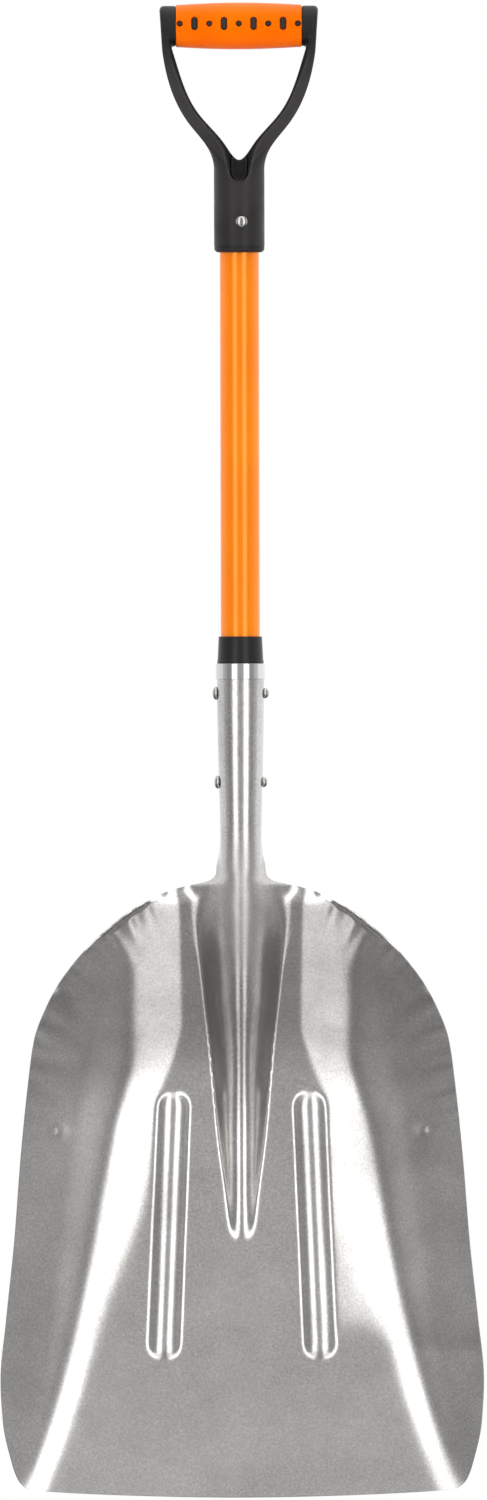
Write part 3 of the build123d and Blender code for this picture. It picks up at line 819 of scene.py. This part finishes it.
def build_studs(material):
    """Black studs of the core, each a low dome that shows in its pit in the sleeve."""
    parts, painted_ring_shade = [], []
    around = np.radians(np.arange(0, 360, STUD_TURN))
    for centre, half_length, radius in stud_centres():
        radius = radius - STUD_GAP
        top = float(grip_radius(centre)) - STUD_BELOW
        rings = [(radius * share, top - below) for share, below in STUD_WALL]
        for share in STUD_CROWN:
            rise = STUD_DOME * (STUD_CROWN_LEVEL - share ** 2) * STUD_CROWN_RISE
            rings.append((radius * share, top + rise))
        painted_ring_shade += [shade for shade in STUD_PAINTED_SHADE for _ in around]
        points = []
        count = len(around)
        for ring_radius, forward in rings:
            up = ring_radius * np.sin(around) + np.where(np.sin(around) >= 0, half_length, -half_length)
            x = centre + ring_radius * np.cos(around)
            points.append(np.stack([x, np.full(count, -forward), GRIP_Z + STUD_RISE + up], -1))
        faces = ring_faces(len(rings), count)
        faces.append(tuple((len(rings) - 1) * count + i for i in range(count)))
        faces.append(tuple(range(count))[::-1])
        parts.append((np.concatenate(points), faces))
    points, faces = joined(parts)
    piece = make_mesh("grip_studs", points, faces, material, None)
    # Painted shade: dark round the rim of each stud, lighter on its top.
    set_tone(piece.data, "painted_shade", painted_ring_shade)
    return piece


# ---- materials -----------------------------------------------------------------------------
# What the base colour of black plastic is multiplied by under full painted shade, and under full painted
# highlight.
PAINTED_SHADE_LEVEL = 0.2
PAINTED_HIGHLIGHT_LEVEL = 2.0
SCRATCH_EDGE = 0.03


def new_material(name):
    """Empty node material with object coordinates and a Principled shader."""
    material = bpy.data.materials.new(name)
    material.use_nodes = True
    tree = material.node_tree
    shader = tree.nodes["Principled BSDF"]
    place = tree.nodes.new("ShaderNodeTexCoord")
    return material, tree, shader, place.outputs["Object"]


def stretched(tree, place, scale):
    mapping = tree.nodes.new("ShaderNodeMapping")
    mapping.inputs["Scale"].default_value = scale
    tree.links.new(place, mapping.inputs["Vector"])
    return mapping.outputs["Vector"]


def noise(tree, place, scale, detail=4.0, roughness=0.5):
    node = tree.nodes.new("ShaderNodeTexNoise")
    node.inputs["Scale"].default_value = scale
    node.inputs["Detail"].default_value = detail
    node.inputs["Roughness"].default_value = roughness
    tree.links.new(place, node.inputs["Vector"])
    return node.outputs["Fac"]


def ranged(tree, value, low, high, new_low, new_high):
    node = tree.nodes.new("ShaderNodeMapRange")
    for name, number in (("From Min", low), ("From Max", high), ("To Min", new_low), ("To Max", new_high)):
        node.inputs[name].default_value = number
    tree.links.new(value, node.inputs["Value"])
    return node.outputs["Result"]


def ramped(tree, value, stops):
    node = tree.nodes.new("ShaderNodeValToRGB")
    ramp_data = node.color_ramp
    while len(ramp_data.elements) < len(stops):
        ramp_data.elements.new(0.5)
    for element, (position, colour) in zip(ramp_data.elements, stops):
        element.position = position
        element.color = colour if len(colour) == 4 else (*colour, 1)
    tree.links.new(value, node.inputs["Fac"])
    return node.outputs["Color"]


def coloured(tree, shader, value, stops):
    tree.links.new(ramped(tree, value, stops), shader.inputs["Base Color"])


def roughened(tree, shader, value, low, high):
    """Roughness that follows a noise between its usual limits of 0.3 and 0.7."""
    tree.links.new(ranged(tree, value, 0.3, 0.7, low, high), shader.inputs["Roughness"])


def bumped(tree, shader, height, strength, distance, before=None):
    node = tree.nodes.new("ShaderNodeBump")
    node.inputs["Strength"].default_value = strength
    node.inputs["Distance"].default_value = distance
    tree.links.new(height, node.inputs["Height"])
    if before is not None:
        tree.links.new(before, node.inputs["Normal"])
    tree.links.new(node.outputs["Normal"], shader.inputs["Normal"])
    return node.outputs["Normal"]


def maths_node(tree, operation, *values):
    node = tree.nodes.new("ShaderNodeMath")
    node.operation = operation
    for socket, value in zip(node.inputs, values):
        if isinstance(value, (int, float)):
            socket.default_value = value
        else:
            tree.links.new(value, socket)
    return node.outputs[0]


def mixed_value(tree, share, low, high):
    """Value that goes from low to high with a share from 0 to 1; either may be a number."""
    less = maths_node(tree, "MULTIPLY", maths_node(tree, "SUBTRACT", 1.0, share), low)
    return maths_node(tree, "MULTIPLY_ADD", share, high, less)


def window(tree, value, start, full, fall, end):
    """1 between full and fall, 0 outside start and end, with soft steps between."""
    up = ranged(tree, value, start, full, 0.0, 1.0)
    down = ranged(tree, value, fall, end, 1.0, 0.0)
    return maths_node(tree, "MULTIPLY", up, down)


def scratches(tree, place, turn, scale, thin):
    """Sparse fine scratches along one direction, 1 on a scratch and 0 elsewhere."""
    mapping = tree.nodes.new("ShaderNodeMapping")
    mapping.inputs["Rotation"].default_value = (0, turn, 0)
    mapping.inputs["Scale"].default_value = scale
    tree.links.new(place, mapping.inputs["Vector"])
    lines = noise(tree, mapping.outputs["Vector"], 1.0, 2.0, 0.5)
    return ranged(tree, lines, thin, thin + SCRATCH_EDGE, 0.0, 1.0)


def aluminium(name, tint, low_rough, high_rough, grain_scale):
    """Rolled and pressed aluminium: faint clouds, fine rolling lines and pitting."""
    material, tree, shader, place = new_material(name)
    shader.inputs["Metallic"].default_value = 1.0
    clouds = noise(tree, place, 11.0, 6.0, 0.6)
    stops = [(0.3, tint), (0.7, tuple(c * 0.95 for c in tint))]
    coloured(tree, shader, clouds, stops)
    grain = noise(tree, stretched(tree, place, grain_scale), 1.0, 4.0, 0.6)
    roughened(tree, shader, clouds, low_rough, high_rough)
    fine = noise(tree, place, 700.0, 3.0, 0.6)
    first = bumped(tree, shader, grain, 0.10, 0.0001)
    bumped(tree, shader, fine, 0.10, 0.0001, first)
    return material


def blade_aluminium():
    """The blade's sheet: mill grain, handling marks, a brushed neck whose crest is also darkened as painted
    shade, and a base colour lighter towards the front edge.
    """
    material, tree, shader, place = new_material("pressed aluminium")
    shader.inputs["Metallic"].default_value = 1.0
    parts = tree.nodes.new("ShaderNodeSeparateXYZ")
    tree.links.new(place, parts.inputs[0])
    across, height = parts.outputs["X"], parts.outputs["Z"]

    clouds = noise(tree, place, 9.0, 6.0, 0.62)
    grain = noise(tree, stretched(tree, place, (170.0, 170.0, 1300.0)), 1.0, 5.0, 0.7)
    speckle = noise(tree, place, 620.0, 3.0, 0.7)
    dents = noise(tree, place, 26.0, 3.0, 0.5)
    long_marks = scratches(tree, place, 0.35, (28.0, 28.0, 900.0), 0.745)
    cross_marks = scratches(tree, place, -0.9, (34.0, 34.0, 1100.0), 0.755)
    marks = maths_node(tree, "MAXIMUM", long_marks, cross_marks)

    # Base colour lighter towards the front edge.
    front_edge_share = ranged(tree, height, 0.02, 0.21, 1.0, 0.0)
    neck = window(tree, height, 0.415, 0.445, 0.500, 0.545)
    crest = ranged(tree, maths_node(tree, "ABSOLUTE", across), 0.009, 0.016, 1.0, 0.0)
    brushed_and_shaded = maths_node(tree, "MULTIPLY", neck, crest)

    tone = mixed_value(tree, front_edge_share, 0.53, 0.60)
    for value, *limits in (
        (clouds, 0.35, 0.65, 1.15, 0.85), (dents, 0.35, 0.65, 1.04, 0.96),
        (grain, 0.3, 0.7, 0.97, 1.03), (speckle, 0.35, 0.65, 0.87, 1.13),
    ):
        tone = maths_node(tree, "MULTIPLY", tone, ranged(tree, value, *limits))
    # Painted shade darkens the crest of the neck, which is also made rougher below, as brushed.
    tone = maths_node(tree, "MULTIPLY", tone, mixed_value(tree, brushed_and_shaded, 1.0, 0.88))
    tone = mixed_value(tree, maths_node(tree, "MULTIPLY", marks, 0.07), tone, 0.75)
    colour = tree.nodes.new("ShaderNodeCombineXYZ")
    for socket, share in zip(colour.inputs, (1.0, 0.98, 0.957)):
        tree.links.new(maths_node(tree, "MULTIPLY", tone, share), socket)
    tree.links.new(colour.outputs[0], shader.inputs["Base Color"])

    rough = ranged(tree, clouds, 0.3, 0.7, 0.19, 0.26)
    rough = maths_node(tree, "MULTIPLY_ADD", marks, 0.04, rough)
    tree.links.new(mixed_value(tree, brushed_and_shaded, rough, 0.42), shader.inputs["Roughness"])

    first = bumped(tree, shader, dents, 0.35, 0.0006)
    second = bumped(tree, shader, grain, 0.10, 0.0001, first)
    bumped(tree, shader, speckle, 0.16, 0.0001, second)
    return material


def gloss_orange():
    """Thick glossy lacquer on the tube, with a faint orange peel."""
    material, tree, shader, place = new_material("gloss orange paint")
    tone = noise(tree, place, 14.0, 3.0)
    stops = [(0.35, (0.88, 0.185, 0.0)), (0.65, (0.94, 0.215, 0.0))]
    coloured(tree, shader, tone, stops)
    shader.inputs["IOR"].default_value = 1.85
    shader.inputs["Specular IOR Level"].default_value = 0.9
    shader.inputs["Specular Tint"].default_value = (1.0, 0.50, 0.16, 1.0)
    roughened(tree, shader, noise(tree, place, 40.0, 4.0), 0.10, 0.17)
    bumped(tree, shader, noise(tree, place, 260.0, 2.0), 0.05, 0.0001)
    return material


def grip_orange():
    """Smooth moulded orange plastic with a soft shine."""
    material, tree, shader, place = new_material("moulded orange plastic")
    tone = noise(tree, place, 22.0, 3.0)
    stops = [(0.35, (0.96, 0.135, 0.0)), (0.65, (1.0, 0.160, 0.0))]
    coloured(tree, shader, tone, stops)
    shader.inputs["Specular IOR Level"].default_value = 0.35
    shader.inputs["Specular Tint"].default_value = (1.0, 0.35, 0.04, 1.0)
    roughened(tree, shader, noise(tree, place, 60.0, 4.0), 0.28, 0.40)
    bumped(tree, shader, noise(tree, place, 1400.0, 2.0), 0.12, 0.00008)
    return material


def attribute(tree, name):
    node = tree.nodes.new("ShaderNodeAttribute")
    node.attribute_name = name
    return node.outputs["Fac"]


def black_plastic(name, dark, light, low_rough, high_rough):
    """Charcoal moulding: fine grain, painted shade in its recesses and a painted highlight along its edges.
    """
    material, tree, shader, place = new_material(name)
    tone = noise(tree, place, 30.0, 4.0)
    # Painted shade and painted highlight, read from the mesh, darken and lighten the base colour.
    shade = mixed_value(tree, attribute(tree, "painted_shade"), 1.0, PAINTED_SHADE_LEVEL)
    highlighted = mixed_value(tree, attribute(tree, "painted_highlight"), 1.0, PAINTED_HIGHLIGHT_LEVEL)
    shade = maths_node(tree, "MULTIPLY", shade, highlighted)
    scaled = tree.nodes.new("ShaderNodeVectorMath")
    scaled.operation = "SCALE"
    tree.links.new(ramped(tree, tone, [(0.3, dark), (0.7, light)]), scaled.inputs[0])
    tree.links.new(shade, scaled.inputs["Scale"])
    tree.links.new(scaled.outputs[0], shader.inputs["Base Color"])
    shader.inputs["Specular IOR Level"].default_value = 0.22
    roughened(tree, shader, noise(tree, place, 45.0, 3.0), low_rough, high_rough)
    bumped(tree, shader, noise(tree, place, 1100.0, 3.0, 0.7), 0.22, 0.00012)
    return material


def plated_steel():
    material, tree, shader, place = new_material("plated steel")
    shader.inputs["Metallic"].default_value = 1.0
    tone = noise(tree, place, 300.0, 3.0)
    stops = [(0.3, (0.46, 0.45, 0.44)), (0.7, (0.38, 0.375, 0.37))]
    coloured(tree, shader, tone, stops)
    roughened(tree, shader, tone, 0.10, 0.22)
    bumped(tree, shader, noise(tree, place, 700.0, 3.0), 0.08, 0.0001)
    return material


def plug_wood():
    """Straight-grained ash for the plugs inside the tube."""
    material, tree, shader, place = new_material("ash wood")
    grain = noise(tree, stretched(tree, place, (260.0, 260.0, 9.0)), 1.0, 5.0, 0.6)
    stops = [(0.35, (0.36, 0.20, 0.09)), (0.65, (0.62, 0.42, 0.23))]
    coloured(tree, shader, grain, stops)
    shader.inputs["Roughness"].default_value = 0.6
    bumped(tree, shader, grain, 0.2, 0.0003)
    return material


# ---- studio --------------------------------------------------------------------------------
DOME_RADIUS = 9.0
DOME_CENTRE_Z = 0.6
DOME_TURNS = 64
DOME_RISES = 32
# Brightness round the horizon and below it, as (degrees from the front, brightness).
DOME_BANDS = [
    (0, 0.51), (14, 0.51), (18.5, 2.6), (37, 2.6), (42, 0.38), (60, 0.385), (72, 0.60), (86, 0.70),
    (94, 1.12), (150, 1.2), (180, 1.0),
]
DOME_LOW_BANDS = [
    (0, 0.30), (14, 0.30), (18.5, 1.10), (37, 1.10), (44, 0.25), (70, 0.26), (110, 0.13), (150, 0.25),
    (180, 0.3),
]
# Degrees of elevation over which the low bands give way to the others, and those to the ceiling.
DOME_LOW = (-38.0, -5.0)
DOME_HIGH = (50.0, 72.0)
DOME_TOP = 2.0
# How much brighter the right side of the studio is than the middle, and the left side darker.
DOME_SIDE = 0.09


def dome_bands(tree, azimuth, table):
    """Brightness of the studio wall round its axis, read from a table of bands."""
    bright = max(value for _, value in table)
    stops = [(degrees / 180, (value / bright,) * 3) for degrees, value in table]
    return maths_node(tree, "MULTIPLY", ramped(tree, azimuth, stops), bright)


def dome_mesh():
    """Ball of quads with one flat face at each pole."""
    points = []
    for i in range(1, DOME_RISES):
        rise = math.pi * i / DOME_RISES - math.pi / 2
        for j in range(DOME_TURNS):
            turn = 2 * math.pi * j / DOME_TURNS
            points.append((math.cos(rise) * math.cos(turn), math.cos(rise) * math.sin(turn), math.sin(rise)))
    faces = ring_faces(DOME_RISES - 1, DOME_TURNS)
    faces.append(tuple(range(DOME_TURNS))[::-1])
    faces.append(tuple((DOME_RISES - 2) * DOME_TURNS + j for j in range(DOME_TURNS)))
    mesh = bpy.data.meshes.new("studio_wall")
    mesh.from_pydata([tuple(DOME_RADIUS * c for c in p) for p in points], [], faces)
    return mesh


def build_dome():
    """Round studio wall that gives off light: two soft upright strips and a pale ceiling."""
    material = bpy.data.materials.new("studio wall")
    material.use_nodes = True
    tree = material.node_tree
    tree.nodes.clear()
    place = tree.nodes.new("ShaderNodeTexCoord").outputs["Object"]
    direction = tree.nodes.new("ShaderNodeVectorMath")
    direction.operation = "NORMALIZE"
    tree.links.new(place, direction.inputs[0])
    parts = tree.nodes.new("ShaderNodeSeparateXYZ")
    tree.links.new(direction.outputs[0], parts.inputs[0])

    sideways = maths_node(tree, "ABSOLUTE", parts.outputs["X"])
    front = maths_node(tree, "MULTIPLY", parts.outputs["Y"], -1.0)
    azimuth = maths_node(tree, "DIVIDE", maths_node(tree, "ARCTAN2", sideways, front), math.pi)
    elevation = maths_node(tree, "ARCSINE", parts.outputs["Z"])
    elevation = maths_node(tree, "MULTIPLY", elevation, 180 / math.pi)
    low = dome_bands(tree, azimuth, DOME_LOW_BANDS)
    level = dome_bands(tree, azimuth, DOME_BANDS)
    around = mixed_value(tree, ranged(tree, elevation, *DOME_LOW, 0.0, 1.0), low, level)
    around = mixed_value(tree, ranged(tree, elevation, *DOME_HIGH, 0.0, 1.0), around, DOME_TOP)
    side = maths_node(tree, "MULTIPLY_ADD", parts.outputs["X"], DOME_SIDE, 1.0)
    around = maths_node(tree, "MULTIPLY", around, side)
    glow = tree.nodes.new("ShaderNodeEmission")
    tree.links.new(around, glow.inputs["Strength"])
    out = tree.nodes.new("ShaderNodeOutputMaterial")
    tree.links.new(glow.outputs[0], out.inputs["Surface"])
    material.cycles.emission_sampling = "NONE"

    mesh = dome_mesh()
    mesh.materials.append(material)
    dome = placed("studio_wall", mesh)
    dome.location = (0, 0, DOME_CENTRE_Z)
    dome.visible_camera = False
    dome.visible_shadow = False


FLOOR_RADIUS = 4.0
FLOOR_TURN = 5
FLOOR_DROP = 0.0005


def build_floor():
    """Pale plain floor under the front edge of the blade."""
    material, tree, shader, place = new_material("pale floor")
    tone = noise(tree, place, 1.2, 3.0)
    stops = [(0.3, (0.86, 0.86, 0.86)), (0.7, (0.89, 0.89, 0.89))]
    coloured(tree, shader, tone, stops)
    shader.inputs["Roughness"].default_value = 0.6
    mesh = bpy.data.meshes.new("floor")
    turns = [math.radians(degrees) for degrees in range(0, 360, FLOOR_TURN)]
    ring = [(FLOOR_RADIUS * math.cos(t), FLOOR_RADIUS * math.sin(t), 0.0) for t in turns]
    mesh.from_pydata(ring, [], [tuple(range(len(ring)))])
    mesh.materials.append(material)
    floor = placed("floor", mesh)
    floor.location = (0, 0, cad_box[0][2] - FLOOR_DROP)
    floor.visible_glossy = False


def build_world():
    world = bpy.data.worlds.new("white surround")
    world.use_nodes = True
    world.node_tree.nodes["Background"].inputs["Color"].default_value = (1, 1, 1, 1)
    world.node_tree.nodes["Background"].inputs["Strength"].default_value = 1.0
    bpy.context.scene.world = world
    bpy.context.scene.view_settings.view_transform = "Standard"


# ---- camera --------------------------------------------------------------------------------
CAMERA_AWAY = 4.0
CAMERA_SHIFT_X = 0.0023
CAMERA_Z = 0.605
CAMERA_HEIGHT = 1.215
CAMERA_ROLL = 0.15
CAMERA_FAR = 60.0


def build_camera():
    data = bpy.data.cameras.new("camera")
    data.type = "ORTHO"
    data.ortho_scale = CAMERA_HEIGHT
    data.clip_end = CAMERA_FAR
    camera = placed("camera", data)
    camera.location = (CAMERA_SHIFT_X, -CAMERA_AWAY, CAMERA_Z)
    camera.rotation_euler = (math.radians(90), math.radians(CAMERA_ROLL), 0)
    bpy.context.scene.camera = camera


build_world()
build_dome()
build_floor()
build_camera()

blade_metal = blade_aluminium()
ring_metal = aluminium("rolled aluminium band", (0.64, 0.63, 0.618), 0.10, 0.18, (30.0, 30.0, 500.0))
handle_black = black_plastic("charcoal moulding", (0.019, 0.0172, 0.0168), (0.027, 0.0245, 0.024), 0.36, 0.50)
collar_black = black_plastic("black collar", (0.012, 0.0115, 0.0115), (0.018, 0.017, 0.0175), 0.28, 0.38)
rivet_steel = plated_steel()
wood = plug_wood()

build_blade(blade_metal)
build_ring(ring_metal)
build_collar(collar_black)
build_shaft(gloss_orange())
build_rivets(rivet_steel)
build_yoke(handle_black)
build_grip(grip_orange())
build_studs(handle_black)
for plug in ("lower_core_plug", "upper_core_plug"):
    for material_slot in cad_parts[plug].material_slots:
        material_slot.material = wood
